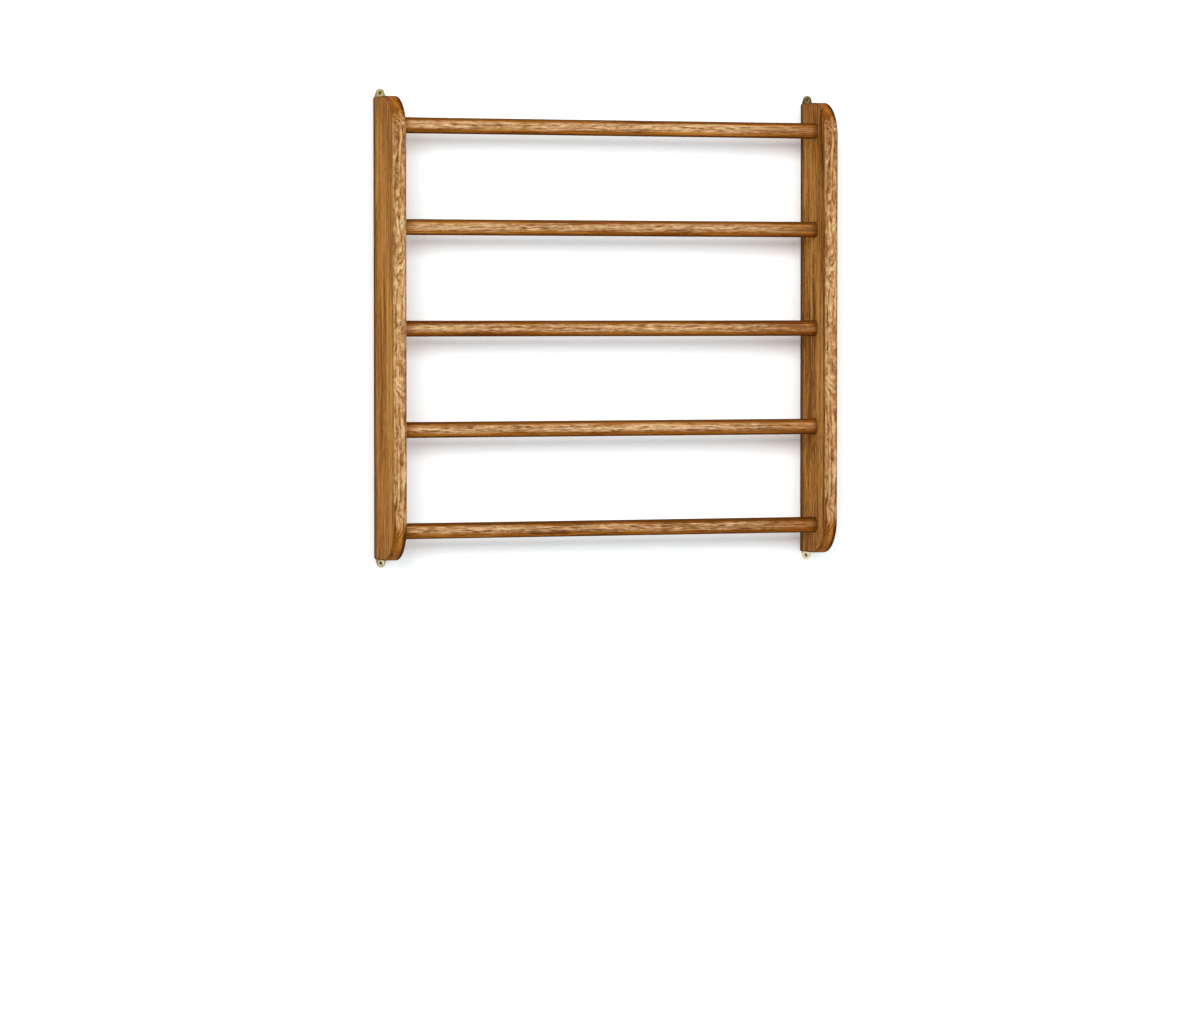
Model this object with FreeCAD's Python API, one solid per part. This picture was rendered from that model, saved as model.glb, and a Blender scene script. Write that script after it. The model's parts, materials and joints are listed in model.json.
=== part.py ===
# Wall rack: two oak side boards carry five round rails and hang on four small brass plates.
# Millimetres. X runs along the rails, Y points into the wall, Z is up.
# The origin is the centre of the four wall holes, on the plane of the wall.
import FreeCAD, Part
import math
import os
from FreeCAD import Vector

# Overall layout
rack_width = 753.0            # over the outer faces of the side boards
rail_count = 5
rail_spacing = 160.0          # between rail axes
end_margin = 46.5             # outermost rail axis to the end of a board

# Side boards
board_thickness = 22.0
board_depth = 107.0           # from the wall to the front edge
corner_radius = 55.5          # front corners, in side view
front_arris = 2.5             # easing of the edges that show
back_arris = 1.0              # easing of the edges against the wall

# Rails
rail_diameter = 25.4
rail_setback = 43.7           # front edge of a board to the rail axis
socket_web = 8.0              # wood left between a socket and the outer face
glue_gap = 0.1                # around the rail in its socket
rail_end_gap = 0.5            # rail end to socket floor
rail_end_chamfer = 1.5

# Hanging plates
plate_thickness = 2.0
plate_side_margin = 1.75      # wood beside the plate, on each side
plate_corner_radius = 3.0     # buried end of the plate
plate_clearance = 0.15        # plate to the sides of its recess
ear_radius = 7.0              # round tip of the ear
wall_hole_reach = 6.2         # end of a board to the centre of its wall hole
wall_hole_diameter = 4.8
countersink_land = 0.5        # straight stretch of a wall hole behind its countersink

# Plate screws
screw_diameter = 3.5
screw_length = 18.0
screw_tip_length = 5.0
screw_head_diameter = 6.6
screw_head_sink = 0.1         # head below the back of the plate
screw_clearance = 0.1
slot_width = 0.9
slot_depth = 0.7
screws_per_plate = 2
screw_end_distance = 8.0      # end of a board to the first screw
screw_pitch = 14.0
plate_tail = 8.0              # last screw to the buried end of the plate

# Worked out from the sizes above
board_length = (rail_count - 1) * rail_spacing + 2 * end_margin
half_length = board_length / 2
board_offset = (rack_width - board_thickness) / 2
socket_depth = board_thickness - socket_web
rail_radius = rail_diameter / 2
rail_length = rack_width - 2 * (socket_web + rail_end_gap)
rail_y = rail_setback - board_depth
plate_half_width = board_thickness / 2 - plate_side_margin
plate_buried = screw_end_distance + (screws_per_plate - 1) * screw_pitch + plate_tail
screw_radius = screw_diameter / 2
head_radius = screw_head_diameter / 2
head_face = -screw_head_sink
overshoot = 1.0               # cutters run this far past what they cut

sides = {"left": -1, "right": 1}
ends = {"top": 1, "bottom": -1}
along_x = Vector(1, 0, 0)
into_wall = Vector(0, 1, 0)
out_of_wall = Vector(0, -1, 0)


def on_arc(centre, radius, degrees):
    # A point on a circle in the plane of the wall, with angles counted from +X towards +Z
    angle = math.radians(degrees)
    return Vector(centre.x + radius * math.cos(angle), 0, centre.z + radius * math.sin(angle))


def turned(points):
    # A solid of revolution about Y from (radius, y) points
    outline = Part.makePolygon([Vector(r, y, 0) for r, y in points + points[:1]])
    return Part.Face(outline).revolve(Vector(0, 0, 0), into_wall, 360)


def rail_heights():
    top = (rail_count - 1) * rail_spacing / 2
    return [top - index * rail_spacing for index in range(rail_count)]


def screw_heights(end):
    first = half_length - screw_end_distance
    return [end * (first - index * screw_pitch) for index in range(screws_per_plate)]


# Side boards
def board_blank(x_low):
    front = -board_depth
    arc_centre_y = front + corner_radius
    arc_z = half_length - corner_radius
    diagonal = corner_radius * math.sqrt(0.5)
    back_bottom = Vector(x_low, 0, -half_length)
    back_top = Vector(x_low, 0, half_length)
    arc_top_start = Vector(x_low, arc_centre_y, half_length)
    arc_top_middle = Vector(x_low, arc_centre_y - diagonal, arc_z + diagonal)
    arc_top_end = Vector(x_low, front, arc_z)
    arc_low_start = Vector(x_low, front, -arc_z)
    arc_low_middle = Vector(x_low, arc_centre_y - diagonal, -arc_z - diagonal)
    arc_low_end = Vector(x_low, arc_centre_y, -half_length)
    edges = [
        Part.makeLine(back_bottom, back_top),
        Part.makeLine(back_top, arc_top_start),
        Part.Arc(arc_top_start, arc_top_middle, arc_top_end).toShape(),
        Part.makeLine(arc_top_end, arc_low_start),
        Part.Arc(arc_low_start, arc_low_middle, arc_low_end).toShape(),
        Part.makeLine(arc_low_end, back_bottom),
    ]
    return Part.Face(Part.Wire(edges)).extrude(along_x * board_thickness)


def eased(blank):
    # Rounds the outline of both faces, more at the front than against the wall
    outline = [edge for edge in blank.Edges if edge.BoundBox.XLength < board_thickness / 2]
    shown = [edge for edge in outline if edge.BoundBox.YMin < -back_arris]
    rounded = blank.makeFillet(front_arris, shown)
    against_wall = [edge for edge in rounded.Edges
                    if edge.BoundBox.YMin > -back_arris and edge.BoundBox.ZLength > half_length]
    return rounded.makeFillet(back_arris, against_wall)


def socket_cutter(side, z):
    inner_face = side * (rack_width / 2 - board_thickness)
    start = Vector(inner_face - side * overshoot, rail_y, z)
    return Part.makeCylinder(rail_radius + glue_gap, socket_depth + overshoot, start, along_x * side)


def side_board(side):
    x = side * board_offset
    board = eased(board_blank(x - board_thickness / 2))
    cutters = [socket_cutter(side, z) for z in rail_heights()]
    for end in ends.values():
        cutters.append(plate_recess(x, end))
        cutters += [screw_cutter(x, z) for z in screw_heights(end)]
    return board.cut(cutters)


# Rails
def rail(z):
    bar = Part.makeCylinder(rail_radius, rail_length, Vector(-rail_length / 2, rail_y, z), along_x)
    rims = [edge for edge in bar.Edges if edge.BoundBox.XLength < rail_end_chamfer]
    return bar.makeChamfer(rail_end_chamfer, rims)


# Hanging plates, drawn for the upper end of a board and mirrored for the lower one
def plate_outline():
    # Sides run from the shoulders, at the board's end, to meet the round tip on a tangent
    hole_centre = Vector(0, 0, half_length + wall_hole_reach)
    shoulder_distance = math.hypot(plate_half_width, wall_hole_reach)
    shoulder_angle = math.degrees(math.atan2(-wall_hole_reach, plate_half_width))
    tangent = shoulder_angle + math.degrees(math.acos(ear_radius / shoulder_distance))
    ear_right = on_arc(hole_centre, ear_radius, tangent)
    ear_tip = on_arc(hole_centre, ear_radius, 90)
    ear_left = on_arc(hole_centre, ear_radius, 180 - tangent)
    shoulder_right = Vector(plate_half_width, 0, half_length)
    shoulder_left = Vector(-plate_half_width, 0, half_length)
    radius = plate_corner_radius
    corner_z = half_length - plate_buried + radius
    right_centre = Vector(plate_half_width - radius, 0, corner_z)
    left_centre = Vector(radius - plate_half_width, 0, corner_z)
    right_side = on_arc(right_centre, radius, 0)
    right_foot = on_arc(right_centre, radius, -90)
    left_foot = on_arc(left_centre, radius, -90)
    left_side = on_arc(left_centre, radius, 180)
    edges = [
        Part.makeLine(shoulder_right, ear_right),
        Part.Arc(ear_right, ear_tip, ear_left).toShape(),
        Part.makeLine(ear_left, shoulder_left),
        Part.makeLine(shoulder_left, left_side),
        Part.Arc(left_side, on_arc(left_centre, radius, 225), left_foot).toShape(),
        Part.makeLine(left_foot, right_foot),
        Part.Arc(right_foot, on_arc(right_centre, radius, -45), right_side).toShape(),
        Part.makeLine(right_side, shoulder_right),
    ]
    return Part.Face(Part.Wire(edges))


def placed(upper, x, end):
    # Moves a shape made at x = 0 to its board, upside down at the lower end
    shape = upper if end > 0 else upper.mirror(Vector(0, 0, 0), Vector(0, 0, 1))
    return shape.translated(Vector(x, 0, 0))


def plate_recess(x, end):
    # A pocket as deep as the plate, open at the board's back and end
    half_width = plate_half_width + plate_clearance
    low = half_length - plate_buried - plate_clearance
    height = plate_buried + plate_clearance + overshoot
    depth = plate_thickness + overshoot
    pocket = Part.makeBox(2 * half_width, depth, height, Vector(-half_width, -plate_thickness, low))
    corners = [edge for edge in pocket.Edges
               if edge.BoundBox.ZMax < half_length and edge.BoundBox.YLength > plate_thickness]
    pocket = pocket.makeFillet(plate_corner_radius + plate_clearance, corners)
    return placed(pocket, x, end)


def wall_hole_cutter():
    hole_radius = wall_hole_diameter / 2
    front = -plate_thickness
    rim_radius = hole_radius + plate_thickness - countersink_land
    profile = [
        (0, overshoot),
        (hole_radius, overshoot),
        (hole_radius, -countersink_land),
        (rim_radius, front),
        (rim_radius, front - overshoot),
        (0, front - overshoot),
    ]
    return turned(profile).translated(Vector(0, 0, half_length + wall_hole_reach))


def hanging_plate(x, end):
    plate = plate_outline().extrude(out_of_wall * plate_thickness)
    cutters = [wall_hole_cutter()]
    cutters += [screw_cutter(0, z) for z in screw_heights(1)]
    return placed(plate.cut(cutters), x, end)


# Plate screws, turned with the head at the wall and the tip in the board
def screw_profile(gap):
    # From the rim of the head down to the tip, grown by a gap
    neck = head_face - (head_radius - screw_radius)
    tip = head_face - screw_length
    return [
        (head_radius + gap, head_face),
        (screw_radius + gap, neck),
        (screw_radius + gap, tip + screw_tip_length - gap),
        (0, tip - gap),
    ]


def screw_cutter(x, z):
    mouth = [(0, overshoot), (head_radius + screw_clearance, overshoot)]
    return turned(mouth + screw_profile(screw_clearance)).translated(Vector(x, 0, z))


def plate_screw(x, z):
    body = turned([(0, head_face)] + screw_profile(0))
    slot_half_length = head_radius + overshoot
    corner = Vector(-slot_half_length, head_face - slot_depth, -slot_width / 2)
    slot = Part.makeBox(2 * slot_half_length, slot_depth + overshoot, slot_width, corner)
    return body.cut(slot).translated(Vector(x, 0, z))


# Every piece, by its node name
def all_pieces():
    pieces = {}
    for side_name, side in sides.items():
        pieces[f"{side_name}_side_board"] = side_board(side)
    for number, z in enumerate(rail_heights(), start=1):
        pieces[f"rail_{number}"] = rail(z)
    for end_name, end in ends.items():
        for side_name, side in sides.items():
            x = side * board_offset
            corner = f"{end_name}_{side_name}"
            pieces[f"hanging_plate_{corner}"] = hanging_plate(x, end)
            for number, z in enumerate(screw_heights(end), start=1):
                pieces[f"plate_screw_{corner}_{number}"] = plate_screw(x, z)
    return pieces


os.makedirs("parts", exist_ok=True)
for name, shape in all_pieces().items():
    shape.exportStep(f"parts/{name}.step")
    box = shape.optimalBoundingBox(False)
    size = f"{box.XLength:.1f} x {box.YLength:.1f} x {box.ZLength:.1f} mm"
    print(name, len(shape.Solids), "solid", "valid" if shape.isValid() else "INVALID", size)
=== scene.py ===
import bpy
import json
import math
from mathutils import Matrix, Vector


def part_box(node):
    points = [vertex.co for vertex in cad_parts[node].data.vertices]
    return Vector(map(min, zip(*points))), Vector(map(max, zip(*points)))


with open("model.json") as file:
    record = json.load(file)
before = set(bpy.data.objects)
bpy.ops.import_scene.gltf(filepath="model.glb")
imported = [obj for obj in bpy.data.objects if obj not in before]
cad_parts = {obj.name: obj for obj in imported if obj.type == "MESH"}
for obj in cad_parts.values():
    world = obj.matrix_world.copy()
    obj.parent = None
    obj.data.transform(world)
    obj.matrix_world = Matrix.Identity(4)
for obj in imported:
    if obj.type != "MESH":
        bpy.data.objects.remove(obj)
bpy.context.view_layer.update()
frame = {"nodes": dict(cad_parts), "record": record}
nodes = frame["nodes"]
mm = 0.001
print("frame loaded:", len(nodes), "nodes")


class Signal:
    # one socket of a material's tree; operators add Math nodes
    def __init__(self, tree, socket=None):
        self.tree = tree
        self.socket = socket

    def node(self, kind, settings, inputs, output=0):
        made = self.tree.nodes.new(kind)
        for name, value in settings.items():
            if name == "stops":
                fillRamp(made.color_ramp, value)
            else:
                setattr(made, name, value)
        feed(made, inputs)
        return Signal(self.tree, made.outputs[output])

    def maths(self, operation, *values):
        return self.node("ShaderNodeMath", {"operation": operation}, dict(enumerate(values)))

    def __add__(self, other):
        return self.maths("ADD", self, other)

    def __radd__(self, other):
        return self.maths("ADD", other, self)

    def __sub__(self, other):
        return self.maths("SUBTRACT", self, other)

    def __rsub__(self, other):
        return self.maths("SUBTRACT", other, self)

    def __mul__(self, other):
        return self.maths("MULTIPLY", self, other)

    def __rmul__(self, other):
        return self.maths("MULTIPLY", other, self)

    def __truediv__(self, other):
        return self.maths("DIVIDE", self, other)

    def __pow__(self, other):
        return self.maths("POWER", self, other)

    def __abs__(self):
        return self.maths("ABSOLUTE", self)

    def larger(self, other):
        return self.maths("MAXIMUM", self, other)

    def below(self, limit):
        return self.maths("LESS_THAN", self, limit)

    def fraction(self):
        return self.maths("FRACT", self)

    def between(self, low, high):
        # low where this is 0, high where it is 1
        return low + (high - low) * self

    def step(self, low, high):
        # smooth 0 to 1 between low and high
        return self.node("ShaderNodeMapRange", {"interpolation_type": "SMOOTHSTEP"},
                         {"Value": self, "From Min": low, "From Max": high})

    def fade(self, start, full, amount):
        # smooth 0 to amount between start and full
        return self.step(start, full) * amount

    def band(self, start, full, fade, stop):
        # smooth 0 to 1 and back to 0
        return self.step(start, full) * (1 - self.step(fade, stop))

    def noise(self, cell, detail, roughness=0.5, shift=(0, 0, 0)):
        # value noise of this vector, with cells of this size along each axis
        spread = [1 / size for size in cell]
        place = self.node("ShaderNodeVectorMath", {"operation": "MULTIPLY_ADD"},
                          {0: self, 1: spread, 2: shift})
        return self.node("ShaderNodeTexNoise", {},
                         {"Vector": place, "Scale": 1.0, "Detail": detail, "Roughness": roughness})

    def parts(self):
        # x, y and z of this vector
        split = self.node("ShaderNodeSeparateXYZ", {}, {0: self}).socket.node
        return [Signal(self.tree, socket) for socket in split.outputs]

    def vector(self, *parts):
        return self.node("ShaderNodeCombineXYZ", {}, dict(enumerate(parts)))

    def ramp(self, stops):
        return self.node("ShaderNodeValToRGB", {"stops": stops}, {"Fac": self})

    def tint(self, first, second):
        # colours mixed by this value
        return self.node("ShaderNodeMix", {"data_type": "RGBA"}, {0: self, 6: first, 7: second}, 2)


def fillRamp(ramp, stops):
    while len(ramp.elements) < len(stops):
        ramp.elements.new(1.0)
    for element, (place, colour) in zip(ramp.elements, stops):
        element.position = place
        element.color = (*colour, 1.0)


def feed(made, inputs):
    for name, value in inputs.items():
        if isinstance(value, Signal):
            value.tree.links.new(value.socket, made.inputs[name])
        else:
            made.inputs[name].default_value = value


def newMaterial(name):
    material = bpy.data.materials.new(name)
    material.use_nodes = True
    tree = material.node_tree
    shader = tree.nodes["Principled BSDF"]
    return material, Signal(tree), shader


def objectPlace(base):
    return base.node("ShaderNodeTexCoord", {}, {}, "Object")


def shownRays(base):
    # 1 for what the camera sees, also in metal or glass, and 0 for the light on the rack
    path = base.node("ShaderNodeLightPath", {}, {}).socket.node
    camera, glossy, through = (Signal(base.tree, path.outputs[f"Is {kind} Ray"])
                               for kind in ("Camera", "Glossy", "Transmission"))
    return camera.larger(glossy.larger(through))


# oak, a solid texture: growth rings round a far pith, fibre streaks, pores and dark dashes
oak = {
    "ringMm": 2.2,
    "pithMm": 170.0,
    "early": (0.0, 0.15, 0.22, 0.5),     # place of the dark and the pale wood in a ring's width
    "late": (0.3, 0.5, 0.6, 0.9),
    "earlyDark": 0.34,
    "earlyBroken": 0.25,                 # what is left of the dark where its line is broken
    "latePale": 0.2,
    # noise: cell in mm across, through and along the grain, then detail and roughness
    "layers": {
        "patchy": ((5, 5, 60), 3.0, 0.65),
        "drift": ((46, 46, 210), 2.0, 0.5),
        "ripple": ((9, 9, 34), 2.0, 0.6),
        "broad": ((14, 14, 260), 2.0, 0.5),
        "fibre": ((0.7, 0.7, 20), 2.0, 0.6),
        "vein": ((1.8, 24, 40), 2.0, 0.6),
        "blush": ((6, 6, 20), 2.0, 0.55),
        "stripe": ((2.6, 2.6, 110), 2.0, 0.6),
        "broken": ((4, 4, 34), 1.0, 0.5),
        "pore": ((0.5, 0.5, 9), 1.0, 0.5),
    },
    # noise at which a spot begins and is full
    "spots": {"blush": (0.45, 0.68), "stripe": (0.44, 0.64), "broken": (0.42, 0.60), "pore": (0.56, 0.66)},
    "poreLate": 0.2, "poreDark": 0.6,
    "dashFibre": 0.6, "dashSoft": 0.12,
    # colour of the painted shade on edges, beside the wall and at the joints
    "paintedShade": (0.085, 0.026, 0.004, 1.0),
    "rough": 0.66, "roughDark": 0.2, "roughPale": 0.06,
    "gloss": 0.02,
    "reliefTone": 0.3, "reliefDash": 0.8,
    "bumpStrength": 0.4, "bumpDistance": 0.0004,
}


def oakFinish(name, piece, centre, pithDegrees, shift, lift, spread, masks):
    material, base, shader = newMaterial(name)
    layers = {**oak["layers"], **piece["layers"]}
    local = base.node("ShaderNodeVectorMath", {"operation": "SUBTRACT"}, {0: objectPlace(base), 1: centre})
    local = base.node("ShaderNodeVectorMath", {"operation": "SCALE"}, {0: local, "Scale": 1 / mm})
    x, y, z = local.parts()
    across, through, length = {"z": (x, y, z), "x": (y, z, x)}[piece["grainAlong"]]
    grain = base.vector(across, through, length)

    def swing(layer, space=grain):
        # a layer of noise, to both sides of 0
        return space.noise(*layers[layer], shift) - 0.5

    def spots(layer):
        # a layer of noise, cut to soft spots
        return grain.noise(*layers[layer], shift).step(*oak["spots"][layer])

    # masks: pale band of wear and painted sheen, end grain, painted shade, stain and ring swirl
    wearAndPaintedLight, ends, paintedShade, stain, swirl = masks(x, y, z, swing("patchy"))

    # rings bend gently along the length
    pithX = oak["pithMm"] * math.cos(math.radians(pithDegrees))
    pithY = oak["pithMm"] * math.sin(math.radians(pithDegrees))
    radius = ((across - pithX) ** 2 + (through - pithY) ** 2) ** 0.5
    radius = radius + swing("drift") * piece["driftMm"] + swing("ripple") * piece["rippleMm"] + swirl
    bent = base.vector(radius, through, length)
    phase = (radius / oak["ringMm"]).fraction()
    early = phase.band(*oak["early"])
    late = phase.band(*oak["late"])
    earlyLine = early * spots("broken").between(oak["earlyBroken"], 1)

    # tone: each face is a sum of weighted layers
    made = {layer: swing(layer) for layer in ("broad", "streak", "fibre", "mottle")}
    made["flake"] = swing("flake", bent)
    made["rings"] = late * oak["latePale"] - earlyLine * oak["earlyDark"]

    def blend(weights):
        return sum(made[layer] * weight for layer, weight in weights.items())

    side = blend(piece["side"]) * spread + lift[0]
    front = blend(piece["front"]) + lift[1]
    tone = 0.5 + wearAndPaintedLight.between(side, front)

    pore = spots("pore") * early.between(oak["poreLate"], 1)
    dash = bent.noise(*layers["dash"], shift) + made["fibre"] * oak["dashFibre"]
    dash = dash.step(piece["dashFrom"], piece["dashFrom"] + oak["dashSoft"])
    dash = dash * wearAndPaintedLight.between(piece["dashSide"], piece["dashFront"])
    dark = (pore * oak["poreDark"]).larger(dash)

    # pale band: wear with a painted sheen
    colour = wearAndPaintedLight.tint(tone.ramp(piece["fresh"]), tone.ramp(piece["wearAndPaintedLight"]))
    colour = (spots("blush") * wearAndPaintedLight * piece["blushOnPaleBand"]).tint(colour, piece["blush"])
    if ends is not None:
        made["vein"] = swing("vein")
        endTone = piece["endTone"] + lift[1] + blend(piece["end"])
        colour = ends.tint(colour, endTone.ramp(piece["ends"]))
    colour = (stain * spots("stripe")).tint(colour, piece["stain"])
    colour = dark.tint(colour, piece["dash"])
    # painted shade mixed over the wood
    colour = paintedShade.tint(colour, oak["paintedShade"])
    roughness = oak["rough"] + oak["roughDark"] * dark - oak["roughPale"] * tone
    relief = tone * oak["reliefTone"] - pore - dash * oak["reliefDash"]
    bump = base.node("ShaderNodeBump", {}, {"Strength": oak["bumpStrength"], "Height": relief,
                                            "Distance": oak["bumpDistance"]})
    feed(shader, {"Base Color": colour, "Roughness": roughness, "Normal": bump,
                  "Specular IOR Level": oak["gloss"]})
    return material


# side boards; the front edge is paler with wear and a painted sheen, the ends are darker end grain, and
# painted shade darkens the edge at the wall
board = {
    "grainAlong": "z",
    "pithDegrees": 68,
    "shift": (3.1, 7.7, 1.3),
    "driftMm": 9.0,
    "rippleMm": 3.2,
    "swirlMm": -6.0,
    "swirlZ": (-112, -70, 80, 125),      # heights between which the rings swing aside
    "layers": {
        "streak": ((4, 4, 110), 3.0, 0.65),
        "mottle": ((2.4, 2.4, 14), 2.0, 0.65),
        "flake": ((1.4, 1.4, 12), 2.0, 0.6),
        "dash": ((1.7, 1.7, 12), 2.5, 0.65),
    },
    "side": {"broad": 1.6, "streak": 1.8, "fibre": 0.5, "mottle": 1.2, "rings": 1.2},
    "front": {"broad": 0.5, "streak": 0.7, "fibre": 0.8, "flake": 1.7, "mottle": 0.6, "rings": 0.8},
    "end": {"vein": 2.0, "rings": 0.8, "fibre": 0.5},
    "endTone": 0.40,
    # tone added to the faces and the front edge, and contrast of the faces
    "lift": {"left": (0.0, 0.03), "right": (-0.055, 0.01)},
    "spread": {"left": 1.0, "right": 1.4},
    "dash": (0.105, 0.034, 0.010, 1.0), "dashFrom": 0.59, "dashSide": 0.16, "dashFront": 0.75,
    "blush": (0.400, 0.150, 0.050, 1.0), "blushOnPaleBand": 0.4,
    "stain": (0.225, 0.062, 0.010, 1.0), "stainFrom": 0.62, "stainEnd": 0.85, "stainRim": 0.85,
    # pale front edge, worn and with a painted sheen, and where that edge turns to the wall at the head and
    # the foot
    "cornerMm": 55.5, "litWearDeepMm": 3.2, "litWearFullMm": 0.8, "middleMm": 60,
    "turnHead": -0.2, "turnFoot": 0.18, "turnPatchy": 0.6, "turnFull": 0.45, "endsFoot": 0.75,
    # painted shade beside the wall, painted dark outlines on the arrises and painted shade at the foot
    "shadeDeepMm": 20.0, "shadeWall": 0.9, "shadeBack": 0.2, "backMm": (1.1, 0.3),
    "arrisMm": (5.6, 10.0), "arrisPatchy": 4, "arrisTurned": 2.6, "shadeArris": 0.4, "shadeEnd": 1.0,
    "flatMm": 12.0, "flatHead": 0.5, "rightMm": 4, "shadeLeft": 0.4, "shadeFoot": 0.04,
    # a dark line on the right board's inner face: painted shadow along the arris near the top, a dark grain
    # line lower down
    "shadowGrain": {"left": 0.0, "right": 0.95},
    "shadowGrainY": -64.5, "shadowGrainLean": 0.089, "shadowGrainFoot": -47.5, "shadowGrainPatchy": 7,
    "shadowGrainCore": 0.2, "shadowGrainHalf": 6.0, "shadowGrainFaint": 0.45, "shadowGrainX": (-9, -6),
    "shadowGrainZ": (190, 300, 352, 366),
    "fresh": [
        (0.00, (0.150, 0.046, 0.006)),
        (0.30, (0.316, 0.118, 0.017)),
        (0.50, (0.450, 0.182, 0.031)),
        (0.70, (0.555, 0.246, 0.050)),
        (1.00, (0.700, 0.350, 0.090)),
    ],
    # colours of the pale front edge: wear with a painted sheen
    "wearAndPaintedLight": [
        (0.00, (0.170, 0.055, 0.013)),
        (0.30, (0.360, 0.162, 0.052)),
        (0.50, (0.550, 0.295, 0.114)),
        (0.70, (0.710, 0.430, 0.185)),
        (1.00, (0.900, 0.630, 0.330)),
    ],
    "ends": [
        (0.00, (0.090, 0.024, 0.003)),
        (0.30, (0.240, 0.070, 0.007)),
        (0.50, (0.390, 0.128, 0.014)),
        (0.70, (0.520, 0.195, 0.028)),
        (1.00, (0.680, 0.310, 0.065)),
    ],
}


def boardMasks(low, high, shadowGrain):
    halfDeep = (high.y - low.y) / 2 / mm
    halfLong = (high.z - low.z) / 2 / mm
    corner = board["cornerMm"]

    def masks(x, y, z, patchy):
        # distance from the centres of the round corners, as in a rounded box
        rise = abs(z) - (halfLong - corner)
        up = rise.larger(0.0)
        out = (corner - halfDeep - y).larger(0.0)
        reach = (up * up + out * out) ** 0.5
        rim = reach.step(corner - board["litWearDeepMm"], corner - board["litWearFullMm"])
        upper = z.step(-board["middleMm"], board["middleMm"])
        bend = rise / corner + patchy * board["turnPatchy"]
        bend = bend + upper.between(board["turnFoot"], board["turnHead"])
        turned = bend.step(0.0, board["turnFull"])

        # painted shade on the faces next to the wall, lighter on the back face
        backFrom, backFull = board["backMm"]
        back = y.step(halfDeep - backFrom, halfDeep - backFull)
        paintedShade = y.step(halfDeep - board["shadeDeepMm"], halfDeep)
        paintedShade = paintedShade * back.between(board["shadeWall"], board["shadeBack"])
        # painted dark outline along the arrises, strongest on the right-hand arris and round the ends
        arris = abs(x) + patchy * board["arrisPatchy"] + turned * board["arrisTurned"]
        edge = rim * arris.step(*board["arrisMm"]) * turned.between(board["shadeArris"], board["shadeEnd"])
        flat = (1 - out.step(0.0, board["flatMm"])) * (1 - board["flatHead"] * upper)
        rightHand = x.step(-board["rightMm"], board["rightMm"])
        edge = edge * flat.larger(rightHand).between(board["shadeLeft"], 1)
        # painted shade at the foot
        foot = rim * turned * (1 - upper) * board["shadeFoot"]
        paintedShade = paintedShade.larger(edge).larger(foot)
        if shadowGrain:
            # painted shadow, dark near the top, and a faint dark grain line low down
            run = (board["shadowGrainY"] + board["shadowGrainLean"] * z).larger(board["shadowGrainFoot"])
            off = y - run + patchy * board["shadowGrainPatchy"]
            start, full, fade, stop = board["shadowGrainZ"]
            line = 1 - abs(off).step(board["shadowGrainCore"], board["shadowGrainHalf"])
            line = line * z.step(start, full).between(board["shadowGrainFaint"], 1)
            line = line * (1 - z.step(fade, stop)) * (1 - x.step(*board["shadowGrainX"])) * shadowGrain
            paintedShade = paintedShade.larger(line)

        swirl = z.band(*board["swirlZ"]) * board["swirlMm"]
        ends = rim * turned * upper.between(board["endsFoot"], 1)
        stain = (abs(z) / halfLong).fade(board["stainFrom"], 1.0, board["stainEnd"])
        stain = stain * (1 - board["stainRim"] * rim * turned)
        return rim * (1 - turned), ends, paintedShade, stain, swirl
    return masks


def dressBoards():
    for side in ("left", "right"):
        node = f"{side}_side_board"
        low, high = (Vector(corner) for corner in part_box(node))
        masks = boardMasks(low, high, board["shadowGrain"][side])
        nodes[node].data.materials[0] = oakFinish(f"oak {side} board", board, (low + high) / 2,
                                                  board["pithDegrees"], board["shift"], board["lift"][side],
                                                  board["spread"][side], masks)
    print("side boards dressed")


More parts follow.
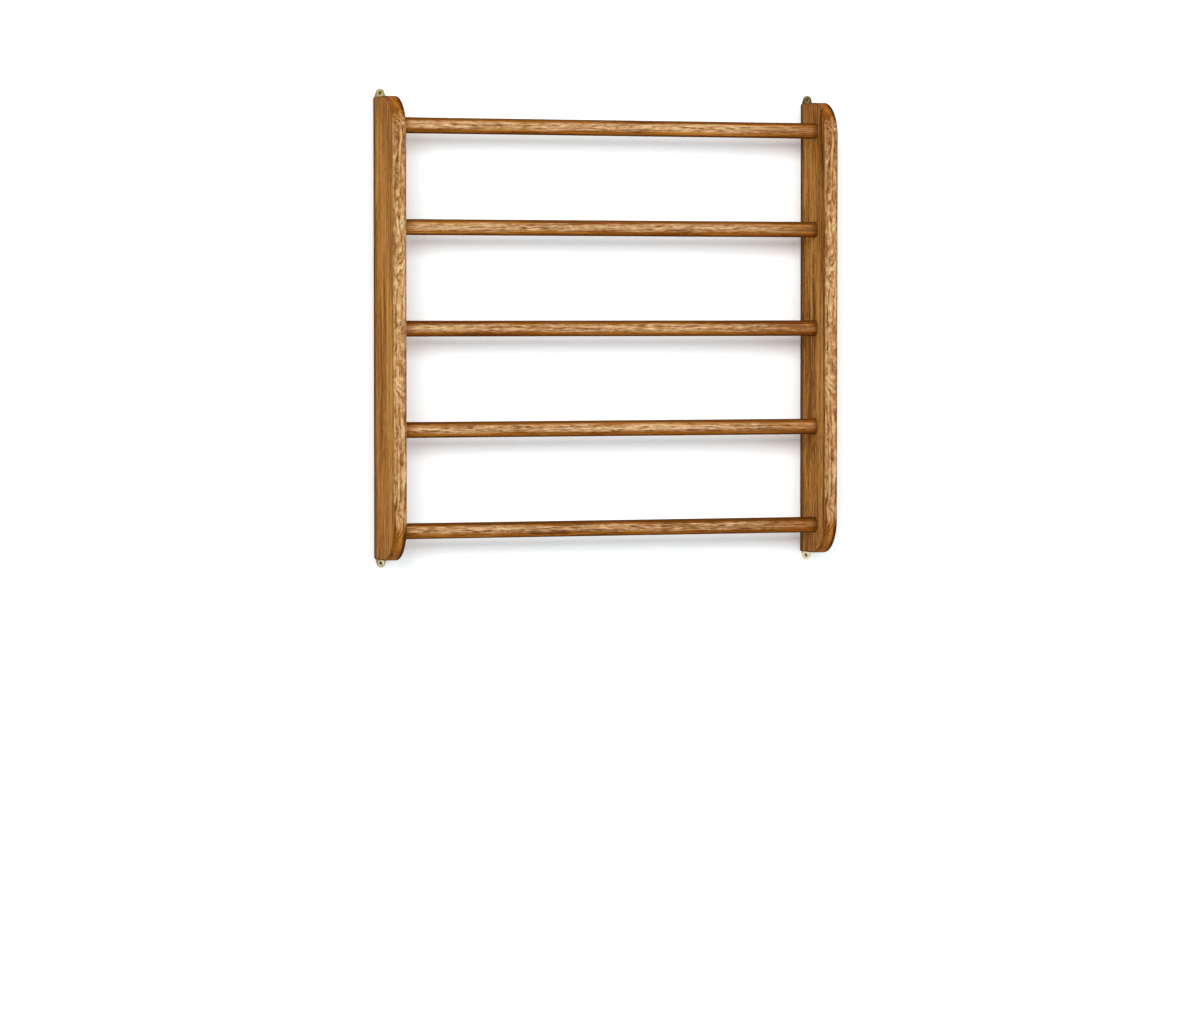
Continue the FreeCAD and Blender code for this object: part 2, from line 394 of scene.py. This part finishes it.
# rails, paler along the front with wear and a painted highlight band
rails = {
    "grainAlong": "x",
    "count": 5,
    "radiusMm": 12.7,
    "pithDegrees": 150,
    "turnDegrees": 47,                   # from one rail to the next
    "shift": (5.3, 2.9, 7.1),
    "driftMm": 9.0,
    "rippleMm": 3.0,
    "layers": {
        "streak": ((4, 4, 120), 3.0, 0.65),
        "mottle": ((2.4, 2.4, 15), 2.0, 0.65),
        "flake": ((1.5, 1.5, 20), 2.0, 0.6),
        "dash": ((1.9, 1.9, 24), 2.5, 0.65),
    },
    "side": {"broad": 1.0, "streak": 1.4, "fibre": 0.5, "mottle": 0.7, "rings": 0.5},
    "front": {"broad": 0.5, "streak": 1.7, "fibre": 0.8, "flake": 1.5, "mottle": 1.8, "rings": 0.5},
    "lift": (0.01, 0.02, -0.05, 0.03, -0.08),
    "spread": 1.0,
    "dash": (0.070, 0.030, 0.014, 1.0), "dashFrom": 0.60, "dashSide": 0.35, "dashFront": 0.85,
    "blush": (0.420, 0.170, 0.050, 1.0), "blushOnPaleBand": 0.35,
    # painted highlight band with wear along the front, tilted a little upwards, fading towards the ends
    "litWearTiltDeg": 4, "litWearStart": 0.79, "litWearFull": 0.99, "litWearPatchy": 0.4,
    # start, full and amount, in mm along the rail or in radii up and down
    "litWearRight": (225, 330, 0.6), "litWearLeft": (-315, -352, 0.7),
    # painted shade: darker along the top and bottom of each rail, and where it meets a board
    "shadeTop": (0.45, 0.95, 0.8), "shadeFoot": (0.68, 0.92, 0.85), "shadeJoint": (340, 354, 0.7),
    # colour towards which each rail darkens at its right end
    "stain": (0.200, 0.058, 0.010, 1.0), "darkenRight": (170, 320, 0.7),
    "fresh": [
        (0.00, (0.123, 0.034, 0.003)),
        (0.30, (0.264, 0.081, 0.007)),
        (0.50, (0.382, 0.124, 0.011)),
        (0.70, (0.490, 0.181, 0.022)),
        (1.00, (0.630, 0.270, 0.048)),
    ],
    # colours of the pale band: wear with a painted highlight
    "wearAndPaintedLight": [
        (0.00, (0.170, 0.062, 0.018)),
        (0.30, (0.430, 0.216, 0.083)),
        (0.50, (0.615, 0.352, 0.158)),
        (0.70, (0.765, 0.480, 0.238)),
        (1.00, (0.920, 0.650, 0.378)),
    ],
}


def railMasks(x, y, z, patchy):
    tilt = math.radians(rails["litWearTiltDeg"])
    # pale band facing the front: a painted highlight with wear
    facing = (z * math.sin(tilt) - y * math.cos(tilt)) / rails["radiusMm"]
    wearAndPaintedLight = (facing + patchy * rails["litWearPatchy"]).step(rails["litWearStart"], rails["litWearFull"])
    wearAndPaintedLight = wearAndPaintedLight * (1 - x.fade(*rails["litWearRight"])) * (1 - x.fade(*rails["litWearLeft"]))
    rise = z / rails["radiusMm"]
    # painted shade along the top and bottom and at the joints
    paintedShade = rise.fade(*rails["shadeTop"]) + (-1 * rise).fade(*rails["shadeFoot"])
    paintedShade = paintedShade.larger(abs(x).fade(*rails["shadeJoint"]))
    ends = None                          # hidden in the sockets
    swirl = 0.0
    return wearAndPaintedLight, ends, paintedShade, x.fade(*rails["darkenRight"]), swirl


def dressRails():
    for number in range(1, rails["count"] + 1):
        node = f"rail_{number}"
        low, high = (Vector(corner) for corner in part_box(node))
        shift = [number * step for step in rails["shift"]]
        turn = rails["pithDegrees"] + rails["turnDegrees"] * number
        lift = rails["lift"][number - 1]
        nodes[node].data.materials[0] = oakFinish(f"oak {node}", rails, (low + high) / 2, turn, shift,
                                                  (lift, lift), rails["spread"], railMasks)
    print("rails dressed")


# brass of the plates and screws, tarnished towards the rims, with a painted reflection: duller at the top
# and the top right, paler at the foot on the right
brass = {
    "pale": (0.880, 0.800, 0.560, 1.0),
    "deep": (0.330, 0.270, 0.115, 1.0), "deepFrom": (0.0, 1.0),
    "dull": (0.075, 0.055, 0.026, 1.0), "dullFrom": (0.9, 1.9),
    "fresh": 0.3, "topReflectionDim": 0.35, "topRightReflectionDim": 0.6, "footRightReflectionDim": -0.45,
    "halfRack": 0.3,                     # metres from the middle to full top or right
    "rimMm": (3.6, 6.6, 9.0, 14.0), "rimDull": 0.6,
    # noise: cell in metres and detail
    "cloud": ((0.006, 0.006, 0.006), 3.0), "cloudDull": 1.4,
    "plateBrush": ((0.0004, 0.0004, 0.012), 2.0), "screwBrush": ((0.0005, 0.0005, 0.0005), 2.0),
    "brushDull": 0.9,
    "rough": 0.3, "roughCloud": 0.2, "roughTop": 0.1,
    "bumpStrength": 0.15, "bumpDistance": 0.0001,
}


def holeDistance(across, up):
    # metres from the nearest wall hole
    mount = next(m for m in frame["record"]["mounts"] if m["name"] == "wall_holes")
    offX = abs(across) - mount["dims"]["spacing_x_mm"] / 2 * mm
    offZ = abs(up) - mount["dims"]["spacing_y_mm"] / 2 * mm
    return (offX * offX + offZ * offZ) ** 0.5


def brassFinish(name, brushed):
    material, base, shader = newMaterial(name)
    place = objectPlace(base)
    x, _, z = place.parts()
    rim = (holeDistance(x, z) / mm).band(*brass["rimMm"])
    top = z.step(0.0, brass["halfRack"])
    right = x.step(0.0, brass["halfRack"])
    cloud = place.noise(*brass["cloud"])
    brush = place.noise(*brushed)
    wearAndPaintedLight = (cloud - 0.5) * brass["cloudDull"] + (brush - 0.5) * brass["brushDull"]
    # painted reflection: duller at the top and the top right, paler at the foot on the right
    wearAndPaintedLight = wearAndPaintedLight + brass["fresh"] + top * brass["topReflectionDim"] + rim * brass["rimDull"]
    wearAndPaintedLight = wearAndPaintedLight + right * top.between(brass["footRightReflectionDim"], brass["topRightReflectionDim"])
    colour = wearAndPaintedLight.step(*brass["deepFrom"]).tint(brass["pale"], brass["deep"])
    colour = wearAndPaintedLight.step(*brass["dullFrom"]).tint(colour, brass["dull"])
    roughness = brass["rough"] + brass["roughCloud"] * cloud + brass["roughTop"] * top
    bump = base.node("ShaderNodeBump", {}, {"Strength": brass["bumpStrength"], "Height": brush,
                                            "Distance": brass["bumpDistance"]})
    feed(shader, {"Base Color": colour, "Metallic": 1.0, "Roughness": roughness, "Normal": bump})
    return material


def dressBrass():
    plateSkin = brassFinish("plate brass", brass["plateBrush"])
    screwSkin = brassFinish("screw brass", brass["screwBrush"])
    for name, node in nodes.items():
        if name.startswith("hanging_plate"):
            node.data.materials[0] = plateSkin
        if name.startswith("plate_screw"):
            node.data.materials[0] = screwSkin
    print("plates and screws dressed")


# wall behind the rack, a stage: open from the back and to very short rays
wall = {
    "behind": 0.0003,
    "half": 2.6,
    "colour": (0.79, 0.80, 0.81, 1.0),
    "seen": (1.34, 1.41, 1.44, 1.0),     # for the camera: white, with soft shadows
    "nearby": 0.002,                     # shorter rays pass through
    "holeShade": 0.0024,                      # radius of the painted dark disc behind each ear, the painted shade of a drilled hole in the wall
    "holeShadeColour": (0.130, 0.066, 0.028, 1.0),
}


def buildWall():
    bpy.ops.mesh.primitive_plane_add(size=2 * wall["half"], location=(0, wall["behind"], 0),
                                     rotation=(math.radians(90), 0, 0))
    plane = bpy.context.object
    plane.name = "wall"
    material, base, shader = newMaterial("wall paint")
    across, up, _ = objectPlace(base).parts()
    # painted shade of a drilled hole behind each ear's hole
    holeShade = holeDistance(across, up).below(wall["holeShade"])
    near = base.node("ShaderNodeLightPath", {}, {}, "Ray Length").below(wall["nearby"])
    back = base.node("ShaderNodeNewGeometry", {}, {}, "Backfacing")
    white = shownRays(base).tint(wall["colour"], wall["seen"])
    feed(shader, {"Base Color": holeShade.tint(white, wall["holeShadeColour"]), "Roughness": 1.0,
                  "Specular IOR Level": 0.0})
    lit = Signal(base.tree, shader.outputs[0])
    clear = base.node("ShaderNodeBsdfTransparent", {}, {})
    mixed = base.node("ShaderNodeMixShader", {}, {0: near.larger(back), 1: lit, 2: clear})
    feed(base.tree.nodes["Material Output"], {"Surface": mixed})
    plane.data.materials.append(material)
    print("wall built")


# light: soft key from the left, a lamp in front, weak fills, a broad room and a fill behind the wall
light = {
    "lamps": {
        "key": {"leftDeg": 32, "upDeg": 17, "away": 9.0, "size": 3.2, "watts": 240},
        "front": {"leftDeg": -2, "upDeg": 20, "away": 9.0, "size": 3.2, "watts": 185},
        "low": {"leftDeg": 10, "upDeg": -22, "away": 9.0, "size": 5.0, "watts": 10},
        "side": {"leftDeg": -75, "upDeg": 15, "away": 7.0, "size": 4.0, "watts": 40},
    },
    "room": 0.53,
    "backPlace": (1.6, 4.0, 2.2), "backSize": 3.0, "backWatts": 110,
}


def areaLamp(name, place, size, watts):
    lamp = bpy.data.lights.new(name, "AREA")
    lamp.size = size
    lamp.energy = watts
    lampObject = bpy.data.objects.new(name, lamp)
    lampObject.location = place
    lampObject.rotation_euler = (-place).to_track_quat("-Z", "Y").to_euler()
    bpy.context.scene.collection.objects.link(lampObject)


def lightRoom():
    for name, lamp in light["lamps"].items():
        left = math.radians(lamp["leftDeg"])
        up = math.radians(lamp["upDeg"])
        toLamp = Vector((-math.sin(left) * math.cos(up), -math.cos(left) * math.cos(up), math.sin(up)))
        areaLamp(f"{name} light", toLamp * lamp["away"], lamp["size"], lamp["watts"])
    areaLamp("back fill", Vector(light["backPlace"]), light["backSize"], light["backWatts"])
    world = bpy.data.worlds.new("room")
    bpy.context.scene.world = world
    world.use_nodes = True
    strength = shownRays(Signal(world.node_tree)).between(light["room"], 1)
    feed(world.node_tree.nodes["Background"], {"Color": (1, 1, 1, 1), "Strength": strength})
    print("lights placed")


# camera, measured from the photograph
eye = {
    "place": (-2.523, -7.050, 0.0263),
    "turnDeg": 19.73,
    "dipDeg": 2.38,
    "focalPixels": 4633.0,
    "imageWidth": 1200,
    "sensorMm": 36.0,
}


def setCamera():
    data = bpy.data.cameras.new("eye")
    data.sensor_fit = "HORIZONTAL"
    data.sensor_width = eye["sensorMm"]
    data.lens = eye["focalPixels"] * eye["sensorMm"] / eye["imageWidth"]
    camera = bpy.data.objects.new("eye", data)
    camera.location = eye["place"]
    camera.rotation_euler = (math.radians(90 - eye["dipDeg"]), 0, -math.radians(eye["turnDeg"]))
    bpy.context.scene.collection.objects.link(camera)
    bpy.context.scene.camera = camera
    print("camera set")


dressBoards()
dressRails()
dressBrass()
buildWall()
lightRoom()
setCamera()
bpy.context.scene.view_settings.view_transform = "Standard"
